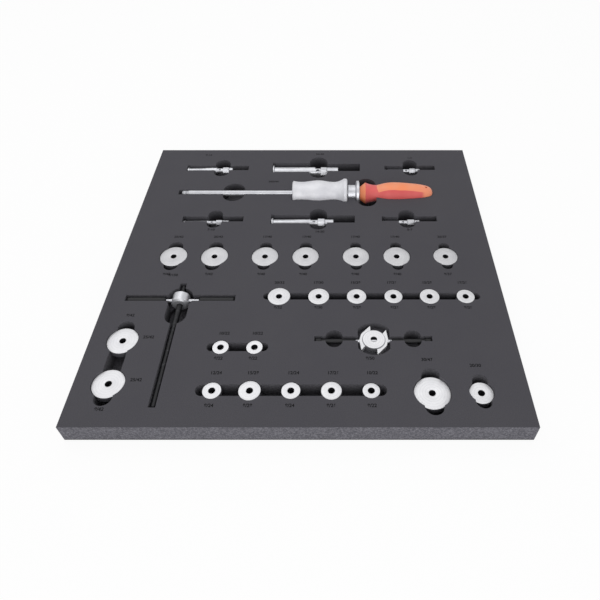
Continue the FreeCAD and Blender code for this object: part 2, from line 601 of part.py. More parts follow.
def star_plate():
    """Plate with two opposed hooked blades round a raised hub, bored for the spindle."""
    top = TOP - STAR_RECESS
    floor = top - STAR_PLATE_THICKNESS
    rise = ALONG_Z * (STAR_PLATE_THICKNESS - STAR_HUB_RISE)
    corners = []
    gullets = []
    for middle in (STAR_BLADE_TURN, STAR_BLADE_TURN + 180):
        tips = [middle - STAR_TIP_TURN, middle + STAR_TIP_TURN]
        corners.append(star_point(tips[0], STAR_TIP_RADIUS, floor))
        corners += [star_point(middle + turn, STAR_HEEL_RADIUS, floor) for turn in STAR_HEEL_TURNS]
        corners.append(star_point(tips[1], STAR_TIP_RADIUS, floor))
        next_tip = tips[0] + 180
        halfway = (tips[1] + next_tip) / 2
        root = [star_point(turn, STAR_HUB_RADIUS - FACE_GAP, floor)
                for turn in (tips[1] - STAR_HOOK_TURN, halfway, next_tip + STAR_HOOK_TURN)]
        mouth = [star_point(next_tip, STAR_TIP_RADIUS, floor),
                 star_point(halfway, 2 * STAR_TIP_RADIUS, floor),
                 star_point(tips[1], STAR_TIP_RADIUS, floor)]
        sides = zip([root[2]] + mouth, mouth + [root[0]])
        edges = [Part.Arc(*root).toShape()] + [Part.makeLine(a, b) for a, b in sides]
        gullets.append(Part.Face(Part.Wire(edges)).extrude(rise))
    blades = Part.Face(Part.makePolygon(corners + corners[:1])).extrude(rise).cut(gullets)
    hub = post(STAR_X, STAR_Y, STAR_HUB_RADIUS, floor, top)
    bore = post(STAR_X, STAR_Y, SPINDLE_DIAMETER / 2 + STAR_BORE_CLEARANCE, floor, top)
    return blades.fuse(hub).removeSplitter().cut(bore)


def capped_sleeve(tip, root, z):
    """Thin sleeve on the star nut's bar with a thicker cap at the bar's tip."""
    way = 1 if root > tip else -1
    edge = STAR_GRIP_ROUND
    cap_end = tip + way * STAR_CAP_LENGTH
    points = [(tip, STAR_BAR_RADIUS), (tip, STAR_CAP_RADIUS - 2 * edge), (tip + 2 * way * edge, STAR_CAP_RADIUS),
              (cap_end - 2 * way * edge, STAR_CAP_RADIUS), (cap_end, STAR_GRIP_RADIUS),
              (root - way * edge, STAR_GRIP_RADIUS), (root, STAR_GRIP_RADIUS - edge), (root, STAR_BAR_RADIUS)]
    return turned_x(points[::way], STAR_Y, z)


def star_parts():
    z = TOP - STAR_BAR_DEPTH
    slack = STAR_BAR_RADIUS + RUNNING_CLEARANCE
    reach = STAR_TIP_RADIUS * 2
    hole = cross_bar((STAR_X - reach, STAR_X + reach), slack, STAR_Y, z)
    bar = cross_bar(STAR_BAR_X, STAR_BAR_RADIUS, STAR_Y, z)
    grips = [capped_sleeve(STAR_BAR_X[0] - GRIP_OVERHANG, STAR_X - STAR_GRIP_GAP, z),
             capped_sleeve(STAR_BAR_X[1] + GRIP_OVERHANG, STAR_X + STAR_GRIP_GAP, z)]
    return {"star_nut_plate": star_plate().cut(hole), "star_nut_bar": bar,
            "star_nut_bar_grips": Part.makeCompound(grips)}


def star_pocket():
    """Round pocket with two flat sides, a slot for the bar with wider ends, and two finger holes."""
    z = TOP - STAR_BAR_DEPTH
    half = STAR_GRIP_RADIUS + FACE_GAP
    half_cap = STAR_CAP_RADIUS + FACE_GAP
    play = GRIP_OVERHANG + BAR_PLAY
    start = STAR_BAR_X[0] - play
    end = STAR_BAR_X[1] + play
    cap_slot = STAR_CAP_LENGTH + 2 * BAR_PLAY
    plate_floor = TOP - STAR_RECESS - STAR_PLATE_THICKNESS - SEAT_GAP
    cap_floor = z - STAR_CAP_RADIUS - SEAT_GAP
    plate_room = block(STAR_X - STAR_POCKET_HALF_WIDTH, STAR_X + STAR_POCKET_HALF_WIDTH,
                       STAR_Y - STAR_POCKET_RADIUS, STAR_Y + STAR_POCKET_RADIUS, plate_floor, TOP)
    cutters = [
        post(STAR_X, STAR_Y, STAR_POCKET_RADIUS, plate_floor, TOP).common(plate_room),
        block(start, end, STAR_Y - half, STAR_Y + half, z - STAR_GRIP_RADIUS - SEAT_GAP, TOP),
        block(start, start + cap_slot, STAR_Y - half_cap, STAR_Y + half_cap, cap_floor, TOP),
        block(end - cap_slot, end, STAR_Y - half_cap, STAR_Y + half_cap, cap_floor, TOP)]
    for x in STAR_FINGER_X:
        cutters.append(obround(x, STAR_Y, STAR_FINGER_WIDTH, STAR_FINGER_LENGTH,
                               TOP - FINGER_DEPTH, TOP))
    return cutters


def foam_body():
    """The pocketed slab: every pocket is a straight cut down from the top face."""
    cutters = across_slots(LARGE_DRIFTS, LARGE_SLOT_WIDTHS, LARGE_SLOT_LENGTHS)
    cutters += across_slots(RIGHT_DRIFTS, RIGHT_SLOT_WIDTHS, RIGHT_SLOT_LENGTHS)
    cutters += [shared_slot_x(MEDIUM_SLOT_X, MEDIUM_ROW_Y, MEDIUM_SLOT_WIDTH),
                shared_slot_x(SMALL_SLOT_X, SMALL_PAIR_Y, SMALL_SLOT_WIDTH),
                shared_slot_x(LOWER_SLOT_X, LOWER_ROW_Y, LOWER_SLOT_WIDTH),
                shared_slot_y(LEFT_PAIR_X, LEFT_SLOT_Y, LEFT_SLOT_WIDTH)]
    for drifts, recess in DRIFT_GROUPS.values():
        for place in drifts:
            cutters += drift_pocket(*place, recess)
    for e in EXTRACTORS:
        cutters += extractor_pocket(e)
    cutters += hammer_pocket() + press_pocket() + star_pocket()
    slab = block(-TRAY_WIDTH / 2, TRAY_WIDTH / 2, -TRAY_DEPTH / 2, TRAY_DEPTH / 2, BASE_THICKNESS, TOP)
    return slab.cut(cutters).removeSplitter()


def main():
    os.makedirs("parts", exist_ok=True)
    save("foam_body", foam_body())
    save("foam_base", block(-TRAY_WIDTH / 2, TRAY_WIDTH / 2, -TRAY_DEPTH / 2, TRAY_DEPTH / 2,
                            0, BASE_THICKNESS))
    for group, (drifts, recess) in DRIFT_GROUPS.items():
        for number, place in enumerate(drifts, 1):
            save(group + "_" + str(number), drift(*place, recess))
    for e in EXTRACTORS:
        save(e.name + "_collet", collet(e))
        save(e.name + "_nut", nut(e))
        save(e.name + "_spindle", draw_spindle(e))
    save("hammer_rod", hammer_rod())
    save("hammer_weight", hammer_weight())
    save("hammer_stop", hammer_stop())
    blank = handle_blank()
    core = core_region()
    save("hammer_handle_core", blank.common(core))
    save("hammer_handle_grip", blank.cut(core))
    for name, shape in {**press_parts(), **star_parts()}.items():
        save(name, shape)


main()
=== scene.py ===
import json
import math

import bpy
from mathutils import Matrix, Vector

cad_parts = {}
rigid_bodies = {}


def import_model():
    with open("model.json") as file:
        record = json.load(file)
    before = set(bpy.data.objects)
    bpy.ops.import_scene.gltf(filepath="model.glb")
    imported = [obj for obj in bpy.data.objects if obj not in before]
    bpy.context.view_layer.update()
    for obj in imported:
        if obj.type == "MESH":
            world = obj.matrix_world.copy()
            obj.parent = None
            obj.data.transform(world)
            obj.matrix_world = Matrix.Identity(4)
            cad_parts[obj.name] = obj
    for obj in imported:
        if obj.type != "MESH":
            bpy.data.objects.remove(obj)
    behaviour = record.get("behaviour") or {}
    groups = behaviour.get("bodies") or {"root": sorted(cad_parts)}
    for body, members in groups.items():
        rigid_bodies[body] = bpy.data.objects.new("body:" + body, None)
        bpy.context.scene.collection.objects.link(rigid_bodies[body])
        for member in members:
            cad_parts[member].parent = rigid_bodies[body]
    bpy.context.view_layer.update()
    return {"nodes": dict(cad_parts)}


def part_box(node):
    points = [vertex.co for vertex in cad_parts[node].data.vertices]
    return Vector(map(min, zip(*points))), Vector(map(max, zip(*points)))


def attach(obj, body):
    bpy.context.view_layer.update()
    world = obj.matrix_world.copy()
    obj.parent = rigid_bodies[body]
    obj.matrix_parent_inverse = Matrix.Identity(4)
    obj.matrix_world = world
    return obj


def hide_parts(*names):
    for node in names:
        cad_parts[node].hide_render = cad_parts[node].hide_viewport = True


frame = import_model()
nodes = frame["nodes"]
scene = bpy.context.scene

MM = 0.001
tray_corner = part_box("foam_body")[1]
FOAM_TOP = tray_corner.z
TRAY_HALF_WIDTH = tray_corner.x
TRAY_HALF_DEPTH = tray_corner.y
# How near to a face a point lies that is shaded as part of it
SKIN = 0.2 * MM

# Materials

# Depths of the surface reliefs
CELL_RELIEF = 0.4 * MM
GRAIN_RELIEF = 0.2 * MM
FINE_RELIEF = 0.1 * MM

# A face whose normal has less height than this counts as a wall
WALL_NORMAL_HEIGHT = 0.5
# Below the foam's top: where the painted shade on pocket walls starts and where it is full, and where deep
# floors start
WALL_SHADE_START = 1.0 * MM
WALL_SHADE_END = 16.0 * MM
DEEP_FLOOR = 20.0 * MM
# Deep walls get painted light in front of the first place and painted shade behind the second
PAINTED_LIGHT_WALLS_Y = -240.0 * MM
PAINTED_SHADE_WALLS_Y = -80.0 * MM

HUB_GROOVE_HALF_WIDTH = 0.2 * MM
HUB_GROOVE_REACH = 0.7 * MM

GRIP_PANEL_START = 19.5 * MM
GRIP_PANEL_ROUND = 3.0 * MM
GRIP_PANEL_HALF_WIDTH = 10.8 * MM
GRIP_PANEL_BLUR = 0.5 * MM
GRIP_TIP_LENGTH = 19.0 * MM
GRIP_TIP_BLUR = 5.0 * MM


def linear(red, green, blue):
    """A colour as a paint chart gives it, 0 to 255, turned into the light values a shader takes."""
    values = []
    for value in (red, green, blue):
        value /= 255
        values.append(value / 12.92 if value <= 0.04045 else ((value + 0.055) / 1.055) ** 2.4)
    return (*values, 1.0)


class Finish:
    """A material under construction: one shader, and short calls for the nodes that feed it."""

    def __init__(self, name, metallic=0.0, roughness=0.5, specular=0.5):
        self.material = bpy.data.materials.new(name)
        self.material.use_nodes = True
        self.tree = self.material.node_tree
        self.shader = self.tree.nodes["Principled BSDF"]
        self.shader.inputs["Metallic"].default_value = metallic
        self.shader.inputs["Roughness"].default_value = roughness
        self.shader.inputs["Specular IOR Level"].default_value = specular
        self.place = self.tree.nodes.new("ShaderNodeTexCoord").outputs["Object"]

    def node(self, kind, inputs=None, **settings):
        made = self.tree.nodes.new(kind)
        for key, value in settings.items():
            setattr(made, key, value)
        for key, value in (inputs or {}).items():
            if isinstance(value, bpy.types.NodeSocket):
                self.tree.links.new(value, made.inputs[key])
            else:
                made.inputs[key].default_value = value
        return made

    def noise(self, scale, detail=2.0, roughness=0.5):
        return self.node("ShaderNodeTexNoise", {"Vector": self.place, "Scale": scale, "Detail": detail,
                                                "Roughness": roughness}).outputs["Fac"]

    def wave(self, place, scale, distortion, detail, detail_scale, **settings):
        """Evenly spaced tool marks, as bands or as rings."""
        return self.node("ShaderNodeTexWave", {"Vector": place, "Scale": scale, "Distortion": distortion,
                                               "Detail": detail, "Detail Scale": detail_scale},
                         **settings).outputs["Fac"]

    def maths(self, operation, first, second=0.0):
        return self.node("ShaderNodeMath", {0: first, 1: second}, operation=operation).outputs[0]

    def remap(self, value, low, high, new_low, new_high):
        return self.node("ShaderNodeMapRange", {"Value": value, "From Min": low, "From Max": high,
                                                "To Min": new_low, "To Max": new_high}).outputs["Result"]

    def share(self, value, low, high):
        """0 at the low value, 1 at the high one, and even in between."""
        return self.remap(value, low, high, 0.0, 1.0)

    def blend(self, amount, first, second):
        mixed = self.node("ShaderNodeMix", {"Factor": amount}, data_type="RGBA")
        for socket, value in zip((mixed.inputs[6], mixed.inputs[7]), (first, second)):
            if isinstance(value, bpy.types.NodeSocket):
                self.tree.links.new(value, socket)
            else:
                socket.default_value = value
        return mixed.outputs[2]

    def moved(self, offset, scale):
        return self.node("ShaderNodeMapping", {"Vector": self.place, "Location": offset,
                                               "Scale": scale}).outputs["Vector"]

    def feed(self, socket, value):
        self.tree.links.new(value, self.shader.inputs[socket])

    def relief(self, height, strength, depth):
        bump = self.node("ShaderNodeBump", {"Height": height, "Strength": strength, "Distance": depth})
        self.feed("Normal", bump.outputs["Normal"])


def cut_foam():
    """Closed-cell foam: fine cells on top, open brighter cells on the sawn sides and on deep floors.

    With depth the pocket walls get painted shade at the tray's back and painted light at its front."""
    finish = Finish("cut foam", roughness=0.88, specular=0.25)
    cells = finish.node("ShaderNodeTexVoronoi", {"Vector": finish.place, "Scale": 1300.0}).outputs["Distance"]
    grain = finish.noise(900.0, 3.0, 0.6)
    clouds = finish.noise(14.0, 3.0, 0.55)
    top = finish.blend(finish.share(grain, 0.3, 0.7), linear(70, 69, 74), linear(83, 82, 87))
    top = finish.blend(finish.remap(clouds, 0.35, 0.65, 0.0, 0.35), top, linear(72, 71, 77))
    flecks = finish.share(finish.noise(520.0, 4.0, 0.75), 0.42, 0.66)
    side = finish.blend(flecks, linear(80, 79, 85), linear(127, 126, 133))
    parts = finish.node("ShaderNodeSeparateXYZ", {"Vector": finish.place})
    across = finish.maths("ABSOLUTE", parts.outputs["X"])
    along = finish.maths("ABSOLUTE", parts.outputs["Y"])
    outer = finish.maths("MAXIMUM", finish.maths("GREATER_THAN", across, TRAY_HALF_WIDTH - SKIN),
                         finish.maths("GREATER_THAN", along, TRAY_HALF_DEPTH - SKIN))
    height = parts.outputs["Z"]
    surface = finish.node("ShaderNodeNewGeometry")
    facing = finish.node("ShaderNodeSeparateXYZ", {"Vector": surface.outputs["Normal"]})
    upright = finish.maths("LESS_THAN", finish.maths("ABSOLUTE", facing.outputs["Z"]), WALL_NORMAL_HEIGHT)
    # Painted shade on the pocket walls that grows with depth; towards the tray's front it gives way to
    # painted light
    depth_shade = finish.remap(height, FOAM_TOP - WALL_SHADE_END, FOAM_TOP - WALL_SHADE_START, 1.0, 0.0)
    painted_front_light = finish.remap(parts.outputs["Y"], PAINTED_LIGHT_WALLS_Y, PAINTED_SHADE_WALLS_Y, 1.0, 0.0)
    wall = finish.blend(flecks, linear(78, 77, 82), linear(100, 99, 104))
    shaded_back_wall = finish.blend(flecks, linear(42, 41, 45), linear(60, 59, 63))
    lit_front_wall = finish.blend(flecks, linear(92, 91, 96), linear(122, 121, 126))
    wall = finish.blend(depth_shade, wall, finish.blend(painted_front_light, shaded_back_wall, lit_front_wall))
    floor_tone = finish.blend(flecks, linear(74, 73, 78), linear(100, 99, 104))
    level = finish.blend(finish.maths("LESS_THAN", height, FOAM_TOP - DEEP_FLOOR), top, floor_tone)
    body = finish.blend(upright, level, wall)
    finish.feed("Base Color", finish.blend(outer, body, side))
    finish.relief(finish.maths("ADD", cells, finish.maths("MULTIPLY", grain, 0.8)), 0.45, CELL_RELIEF)
    return finish.material


def base_film():
    """Thin smooth sheet under the foam, a little darker and glossier than the cells above it."""
    finish = Finish("base film", roughness=0.6, specular=0.4)
    grain = finish.noise(700.0, 3.0)
    finish.feed("Base Color", finish.blend(grain, linear(46, 45, 48), linear(64, 63, 66)))
    finish.relief(grain, 0.2, GRAIN_RELIEF)
    return finish.material


def turned_disc_metal(name, centre, radius, tone, bore, groove=0.0):
    """Satin metal whose tool marks run in rings round this disc's own axis, with painted shade on its side
    and in its bore.

    A groove is the radius of a dark line turned into the face."""
    finish = Finish(name, metallic=0.45, roughness=0.45)
    to_centre = (-centre.x, -centre.y, 0)
    local = finish.moved(to_centre, (1, 1, 0.2))
    rings = finish.wave(local, 620.0, 0.6, 2.0, 2.0, wave_type="RINGS", rings_direction="Z")
    coarse = finish.wave(local, 92.0, 2.4, 3.0, 6.0, wave_type="RINGS", rings_direction="Z")
    reach = finish.node("ShaderNodeVectorMath", {0: finish.moved(to_centre, (1, 1, 0))},
                        operation="LENGTH").outputs["Value"]
    patches = finish.noise(60.0, 3.0, 0.6)
    pale = linear(tone, tone, tone + 2)
    dull = linear(tone - 12, tone - 12, tone - 9)
    face = finish.blend(finish.share(patches, 0.35, 0.65), dull, pale)
    face = finish.blend(finish.maths("MULTIPLY", rings, 0.2), face, linear(170, 170, 176))
    face = finish.blend(finish.remap(coarse, 0.72, 0.98, 0.0, 0.14), face, linear(150, 150, 156))
    if groove:
        away = finish.maths("ABSOLUTE", finish.maths("SUBTRACT", reach, groove))
        line = finish.remap(away, HUB_GROOVE_HALF_WIDTH, HUB_GROOVE_REACH, 0.75, 0.0)
        face = finish.blend(line, face, linear(110, 110, 116))
    # Painted shade: the disc's side is darkened
    side = finish.maths("GREATER_THAN", reach, radius - SKIN)
    face = finish.blend(side, face, linear(112, 112, 118))
    # Painted shade: the wall of the bore is darkened
    painted_bore_shade = finish.maths("LESS_THAN", reach, bore + SKIN)
    finish.feed("Base Color", finish.blend(painted_bore_shade, face, linear(46, 46, 50)))
    finish.feed("Roughness", finish.remap(patches, 0.3, 0.7, 0.38, 0.5))
    finish.relief(rings, 0.12, FINE_RELIEF)
    return finish.material


def turned_steel(name, direction, tone=(208, 209, 213), dull=(190, 191, 196), roughness=0.32, marks=420.0,
                 metallic=0.7):
    """Satin steel turned between centres, with fine marks that follow one direction."""
    finish = Finish(name, metallic=metallic, roughness=roughness)
    lines = finish.wave(finish.place, marks, 0.4, 2.0, 1.5, wave_type="BANDS", bands_direction=direction)
    patches = finish.noise(45.0, 4.0, 0.65)
    colour = finish.blend(finish.share(patches, 0.35, 0.68), linear(*tone), linear(*dull))
    colour = finish.blend(finish.maths("MULTIPLY", lines, 0.22), colour, linear(150, 151, 157))
    finish.feed("Base Color", colour)
    finish.feed("Roughness", finish.remap(patches, 0.3, 0.7, roughness - 0.06, roughness + 0.1))
    finish.relief(lines, 0.02, FINE_RELIEF)
    return finish.material


def black_oxide():
    """Blackened steel, slightly oily, with small grey rubbed spots."""
    finish = Finish("black oxide steel", metallic=0.6, roughness=0.36)
    spots = finish.noise(240.0, 4.0, 0.7)
    finish.feed("Base Color", finish.blend(finish.share(spots, 0.55, 0.75), linear(24, 24, 27),
                                           linear(70, 70, 74)))
    finish.feed("Roughness", finish.remap(spots, 0.3, 0.7, 0.3, 0.5))
    finish.relief(spots, 0.1, FINE_RELIEF)
    return finish.material


def sleeve_rubber():
    """Black rubber sleeve, matte and finely grained."""
    finish = Finish("sleeve rubber", roughness=0.62, specular=0.4)
    skin = finish.noise(900.0, 3.0, 0.6)
    finish.feed("Base Color", finish.blend(skin, linear(16, 16, 18), linear(34, 34, 37)))
    finish.relief(skin, 0.2, GRAIN_RELIEF)
    return finish.material


def handle_core_plastic():
    """Hard orange moulding with a soft sheen and a fine spark-eroded texture."""
    finish = Finish("orange core plastic", roughness=0.42)
    grain = finish.noise(1100.0, 2.0)
    clouds = finish.noise(50.0, 2.0)
    colour = finish.blend(finish.share(clouds, 0.3, 0.7), linear(252, 146, 96), linear(246, 156, 116))
    finish.feed("Base Color", colour)
    finish.relief(grain, 0.15, GRAIN_RELIEF)
    return finish.material


def handle_grip_rubber():
    """Soft pinkish red overmould, matte, with a fine grain; its top panel and its tip are orange."""
    finish = Finish("red grip rubber", roughness=0.5, specular=0.45)
    finish.shader.inputs["Sheen Weight"].default_value = 0.2
    grain = finish.noise(1300.0, 3.0, 0.6)
    clouds = finish.noise(40.0, 2.0)
    colour = finish.blend(finish.share(clouds, 0.3, 0.7), linear(220, 88, 87), linear(230, 104, 101))
    low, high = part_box("hammer_handle_grip")
    parts = finish.node("ShaderNodeSeparateXYZ", {"Vector": finish.place})
    along = parts.outputs["X"]
    aside = finish.maths("ABSOLUTE", finish.maths("SUBTRACT", parts.outputs["Y"], (low.y + high.y) / 2))
    panel_start = low.x + GRIP_PANEL_START
    opening = finish.share(along, panel_start, panel_start + GRIP_PANEL_ROUND)
    width = finish.maths("POWER", opening, 0.5)
    edge = finish.maths("SUBTRACT", finish.maths("MULTIPLY", width, GRIP_PANEL_HALF_WIDTH), aside)
    panel = finish.share(edge, 0.0, GRIP_PANEL_BLUR)
    tip_start = high.x - GRIP_TIP_LENGTH
    tip = finish.share(along, tip_start, tip_start + GRIP_TIP_BLUR)
    orange = finish.blend(clouds, linear(250, 146, 104), linear(244, 154, 118))
    finish.feed("Base Color", finish.blend(finish.maths("MAXIMUM", panel, tip), colour, orange))
    finish.relief(grain, 0.25, GRAIN_RELIEF)
    return finish.material


def marking_ink():
    """Dark ink pressed into the foam, a little worn through by the cells."""
    finish = Finish("marking ink", roughness=0.8, specular=0.2)
    wear = finish.noise(1500.0, 3.0, 0.7)
    finish.feed("Base Color", finish.blend(finish.share(wear, 0.5, 0.75), linear(12, 12, 14),
                                           linear(34, 33, 36)))
    finish.relief(wear, 0.2, FINE_RELIEF)
    return finish.material


STAR_HUB_RADIUS = 15.0 * MM
STAR_TIP_RADIUS = 23.6 * MM
STAR_BORE = 4.2 * MM

foam = cut_foam()
steel_along_x = turned_steel("turned steel along x", "X")
steel_along_y = turned_steel("turned steel along y", "Y")
bright_steel = turned_steel("bright steel", "X", tone=(214, 215, 219), dull=(200, 201, 206), roughness=0.3,
                            marks=300.0)
weight_steel = turned_steel("satin weight steel", "X", tone=(232, 232, 236), dull=(216, 216, 222),
                            roughness=0.5, marks=240.0, metallic=0.25)
star_low, star_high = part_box("star_nut_plate")
rod_steel = turned_steel("rod steel", "X", tone=(190, 191, 195), dull=(178, 179, 184), roughness=0.3,
                         marks=300.0)
star_metal = turned_disc_metal("bladed nut metal", (star_low + star_high) / 2, STAR_TIP_RADIUS, tone=232,
                               bore=STAR_BORE, groove=STAR_HUB_RADIUS)
blackened = black_oxide()
rubber = sleeve_rubber()
ink = marking_ink()

NODE_FINISH = {
    "foam_body": foam, "foam_base": base_film(),
    "hammer_rod": rod_steel, "hammer_stop": steel_along_x, "hammer_weight": weight_steel,
    "hammer_handle_core": handle_core_plastic(), "hammer_handle_grip": handle_grip_rubber(),
    "press_spindle": blackened, "press_hub": steel_along_y, "press_cross_bar": bright_steel,
    "press_bar_grips": rubber, "star_nut_plate": star_metal, "star_nut_bar": bright_steel,
    "star_nut_bar_grips": rubber}
for name in nodes:
    if name.startswith("extractor"):
        NODE_FINISH[name] = steel_along_x


def dress(thing, material):
    thing.data.materials.clear()
    thing.data.materials.append(material)


def placed(name, data):
    """A new object for this mesh, text, lamp or camera, put into the scene."""
    thing = bpy.data.objects.new(name, data)
    scene.collection.objects.link(thing)
    return thing


# Geometry Nodes trees

# Two faces that meet at more than this many degrees keep a sharp edge
SHARP_ANGLE = 28.0


class Recipe:
    """A Geometry Nodes tree under construction, with named inputs and short calls for its nodes."""

    def __init__(self, name, inputs):
        self.tree = bpy.data.node_groups.new(name, "GeometryNodeTree")
        self.ids = {}
        for label, kind in inputs.items():
            socket = self.tree.interface.new_socket(label, in_out="INPUT", socket_type="NodeSocket" + kind)
            self.ids[label] = socket.identifier
        self.tree.interface.new_socket("Geometry", in_out="OUTPUT", socket_type="NodeSocketGeometry")
        self.given = self.tree.nodes.new("NodeGroupInput").outputs

    def node(self, kind, inputs=None, **settings):
        made = self.tree.nodes.new(kind)
        for key, value in settings.items():
            setattr(made, key, value)
        for key, value in (inputs or {}).items():
            for part in value if isinstance(value, list) else [value]:
                if isinstance(part, bpy.types.NodeSocket):
                    self.tree.links.new(part, made.inputs[key])
                else:
                    made.inputs[key].default_value = part
        return made.outputs[0]

    def maths(self, operation, first, second):
        return self.node("ShaderNodeMath", {0: first, 1: second}, operation=operation)

    def vector(self, x, y):
        return self.node("ShaderNodeCombineXYZ", {"X": x, "Y": y})

    def finish(self, geometry):
        real = self.node("GeometryNodeRealizeInstances", {"Geometry": geometry})
        dressed = self.node("GeometryNodeSetMaterial", {"Geometry": real, "Material": self.given["Material"]})
        out = self.tree.nodes.new("NodeGroupOutput")
        self.tree.links.new(dressed, out.inputs["Geometry"])

    def make(self, name, values):
        """Runs the tree with these values and returns the result as a plain mesh object."""
        carrier = placed(name + " carrier", bpy.data.meshes.new(name + " carrier"))
        modifier = carrier.modifiers.new("recipe", "NODES")
        modifier.node_group = self.tree
        for label, value in values.items():
            modifier[self.ids[label]] = value
        bpy.context.view_layer.update()
        ready = carrier.evaluated_get(bpy.context.evaluated_depsgraph_get())
        mesh = bpy.data.meshes.new_from_object(ready)
        mesh.name = name
        bpy.data.objects.remove(carrier)
        return mesh_piece(name, mesh)


def mesh_piece(name, mesh):
    """An object for a finished mesh: smooth faces, with sharp edges where it really turns a corner."""
    thing = placed(name, mesh)
    mesh.shade_smooth()
    mesh.set_sharp_from_angle(angle=math.radians(SHARP_ANGLE))
    return thing


def ring_recipe():
    """A turned disc: a rim section and a pilot section, each swept round the bore's circle.

    The sweep lays a section's own Y downwards, so the rim, above the seat, has a negative lift."""
    recipe = Recipe("turned disc", {"Outer Radius": "Float", "Bore Radius": "Float", "Thickness": "Float",
                                    "Edge": "Float", "Pilot Radius": "Float", "Pilot Length": "Float",
                                    "Seat": "Vector", "Material": "Material"})
    given = recipe.given
    path = recipe.node("GeometryNodeCurvePrimitiveCircle", {"Resolution": 96, "Radius": given["Bore Radius"]})
    swept = []
    for reach, height, lift in ((given["Outer Radius"], given["Thickness"], -0.5),
                                (given["Pilot Radius"], given["Pilot Length"], 0.5)):
        width = recipe.maths("SUBTRACT", reach, given["Bore Radius"])
        section = recipe.node("GeometryNodeCurvePrimitiveQuadrilateral", {"Width": width, "Height": height})
        section = recipe.node("GeometryNodeFilletCurve", {"Curve": section, "Radius": given["Edge"],
                                                          "Count": 3}, mode="POLY")
        centre = recipe.vector(recipe.maths("MULTIPLY", width, 0.5), recipe.maths("MULTIPLY", height, lift))
        section = recipe.node("GeometryNodeTransform", {"Geometry": section, "Translation": centre})
        swept.append(recipe.node("GeometryNodeCurveToMesh", {"Curve": path, "Profile Curve": section}))
    joined = recipe.node("GeometryNodeJoinGeometry", {"Geometry": swept})
    recipe.finish(recipe.node("GeometryNodeTransform", {"Geometry": joined, "Translation": given["Seat"]}))
    return recipe


def thread_recipe():
    """A screw thread: a ridge swept along a spiral, laid along X."""
    recipe = Recipe("screw thread", {"Radius": "Float", "Length": "Float", "Turns": "Float", "Ridge": "Float",
                                     "Start": "Vector", "Material": "Material"})
    given = recipe.given
    spiral = recipe.node("GeometryNodeCurveSpiral", {
        "Resolution": 32, "Rotations": given["Turns"], "Start Radius": given["Radius"],
        "End Radius": given["Radius"], "Height": given["Length"]})
    section = recipe.node("GeometryNodeCurvePrimitiveCircle", {"Resolution": 4, "Radius": given["Ridge"]})
    ridge = recipe.node("GeometryNodeCurveToMesh", {"Curve": spiral, "Profile Curve": section,
                                                    "Fill Caps": True})
    recipe.finish(recipe.node("GeometryNodeTransform", {
        "Geometry": ridge, "Rotation": (0.0, math.radians(90), 0.0), "Translation": given["Start"]}))
    return recipe


# Press drifts

PILOT_HEIGHT = 6.0 * MM
DRIFT_EDGE = 0.5 * MM
DRIFT_BORE = 4.2 * MM
# Pilot diameter and the bearing's outer diameter for each disc of a row, in millimetres
DISC_SIZES = {"large_drift": [(25, 42), (25, 42), (17, 40), (17, 40), (17, 40), (17, 40), (25, 37)],
              "medium_drift": [(20, 32), (17, 30), (15, 28), (17, 26), (15, 28), (17, 26)],
              "left_drift": [(25, 42), (25, 42)], "small_drift": [(10, 22), (10, 22)],
              "lower_drift": [(12, 24), (15, 28), (12, 24), (17, 26), (10, 22)],
              "right_drift": [(30, 47), (20, 30)]}
# How pale each row's aluminium is, 0 to 255
DISC_TONES = {"large_drift": 206, "medium_drift": 222, "left_drift": 228, "small_drift": 230,
              "lower_drift": 228, "right_drift": 238}

drifts = [name for name in sorted(nodes) if "_drift_" in name]


def row_and_index(name):
    """The row that a drift belongs to, and its place in it, from 0."""
    row, number = name.rsplit("_", 1)
    return row, int(number) - 1


disc = ring_recipe()
for name in drifts:
    low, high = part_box(name)
    middle = (low + high) / 2
    radius = (high.x - low.x) / 2
    row, index = row_and_index(name)
    pilot = DISC_SIZES[row][index][0] / 2 * MM
    seat = low.z + PILOT_HEIGHT
    metal = turned_disc_metal("turned aluminium " + name, middle, radius, DISC_TONES[row], DRIFT_BORE)
    piece = disc.make(name + "_turned", {
        "Outer Radius": radius, "Bore Radius": DRIFT_BORE, "Thickness": high.z - seat, "Edge": DRIFT_EDGE,
        "Pilot Radius": pilot, "Pilot Length": PILOT_HEIGHT, "Seat": (middle.x, middle.y, seat),
        "Material": metal})
    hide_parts(name)
    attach(piece, name)

# Thread on the slide hammer's free end

THREAD_LENGTH = 10.5 * MM
THREAD_RADIUS = 4.2 * MM
THREAD_RIDGE = 0.55 * MM
THREAD_TURNS = 8.0
THREAD_INSET = 0.4 * MM

thread = thread_recipe()
rod_low, rod_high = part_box("hammer_rod")
rod_y = (rod_low.y + rod_high.y) / 2
rod_z = (rod_low.z + rod_high.z) / 2
ridge = thread.make("hammer_rod_thread", {
    "Radius": THREAD_RADIUS, "Length": THREAD_LENGTH, "Turns": THREAD_TURNS, "Ridge": THREAD_RIDGE,
    "Start": (rod_low.x + THREAD_INSET, rod_y, rod_z), "Material": rod_steel})
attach(ridge, "slide_hammer")

# Finishes of the CAD's own pieces

for name, material in NODE_FINISH.items():
    dress(nodes[name], material)
for name in drifts:
    dress(nodes[name], steel_along_x)

# Number marks beside the pockets

MARK_SIZE = 6.4 * MM
MARK_THICKNESS = 0.03 * MM
MARK_BOLDNESS = 0.18 * MM
# Text and place, in millimetres, of the marks that stand beside the larger tools
MARKS = [("8-14", -193, 267), ("24-30", 14, 270), ("6-8", 180, 257), ("350/44", -66, 186), ("7-10", -156, 60),
         ("14-20", 18, 55), ("5-7", 162, 60), ("8/150", -196, -40), ("8/50", 88, -187)]
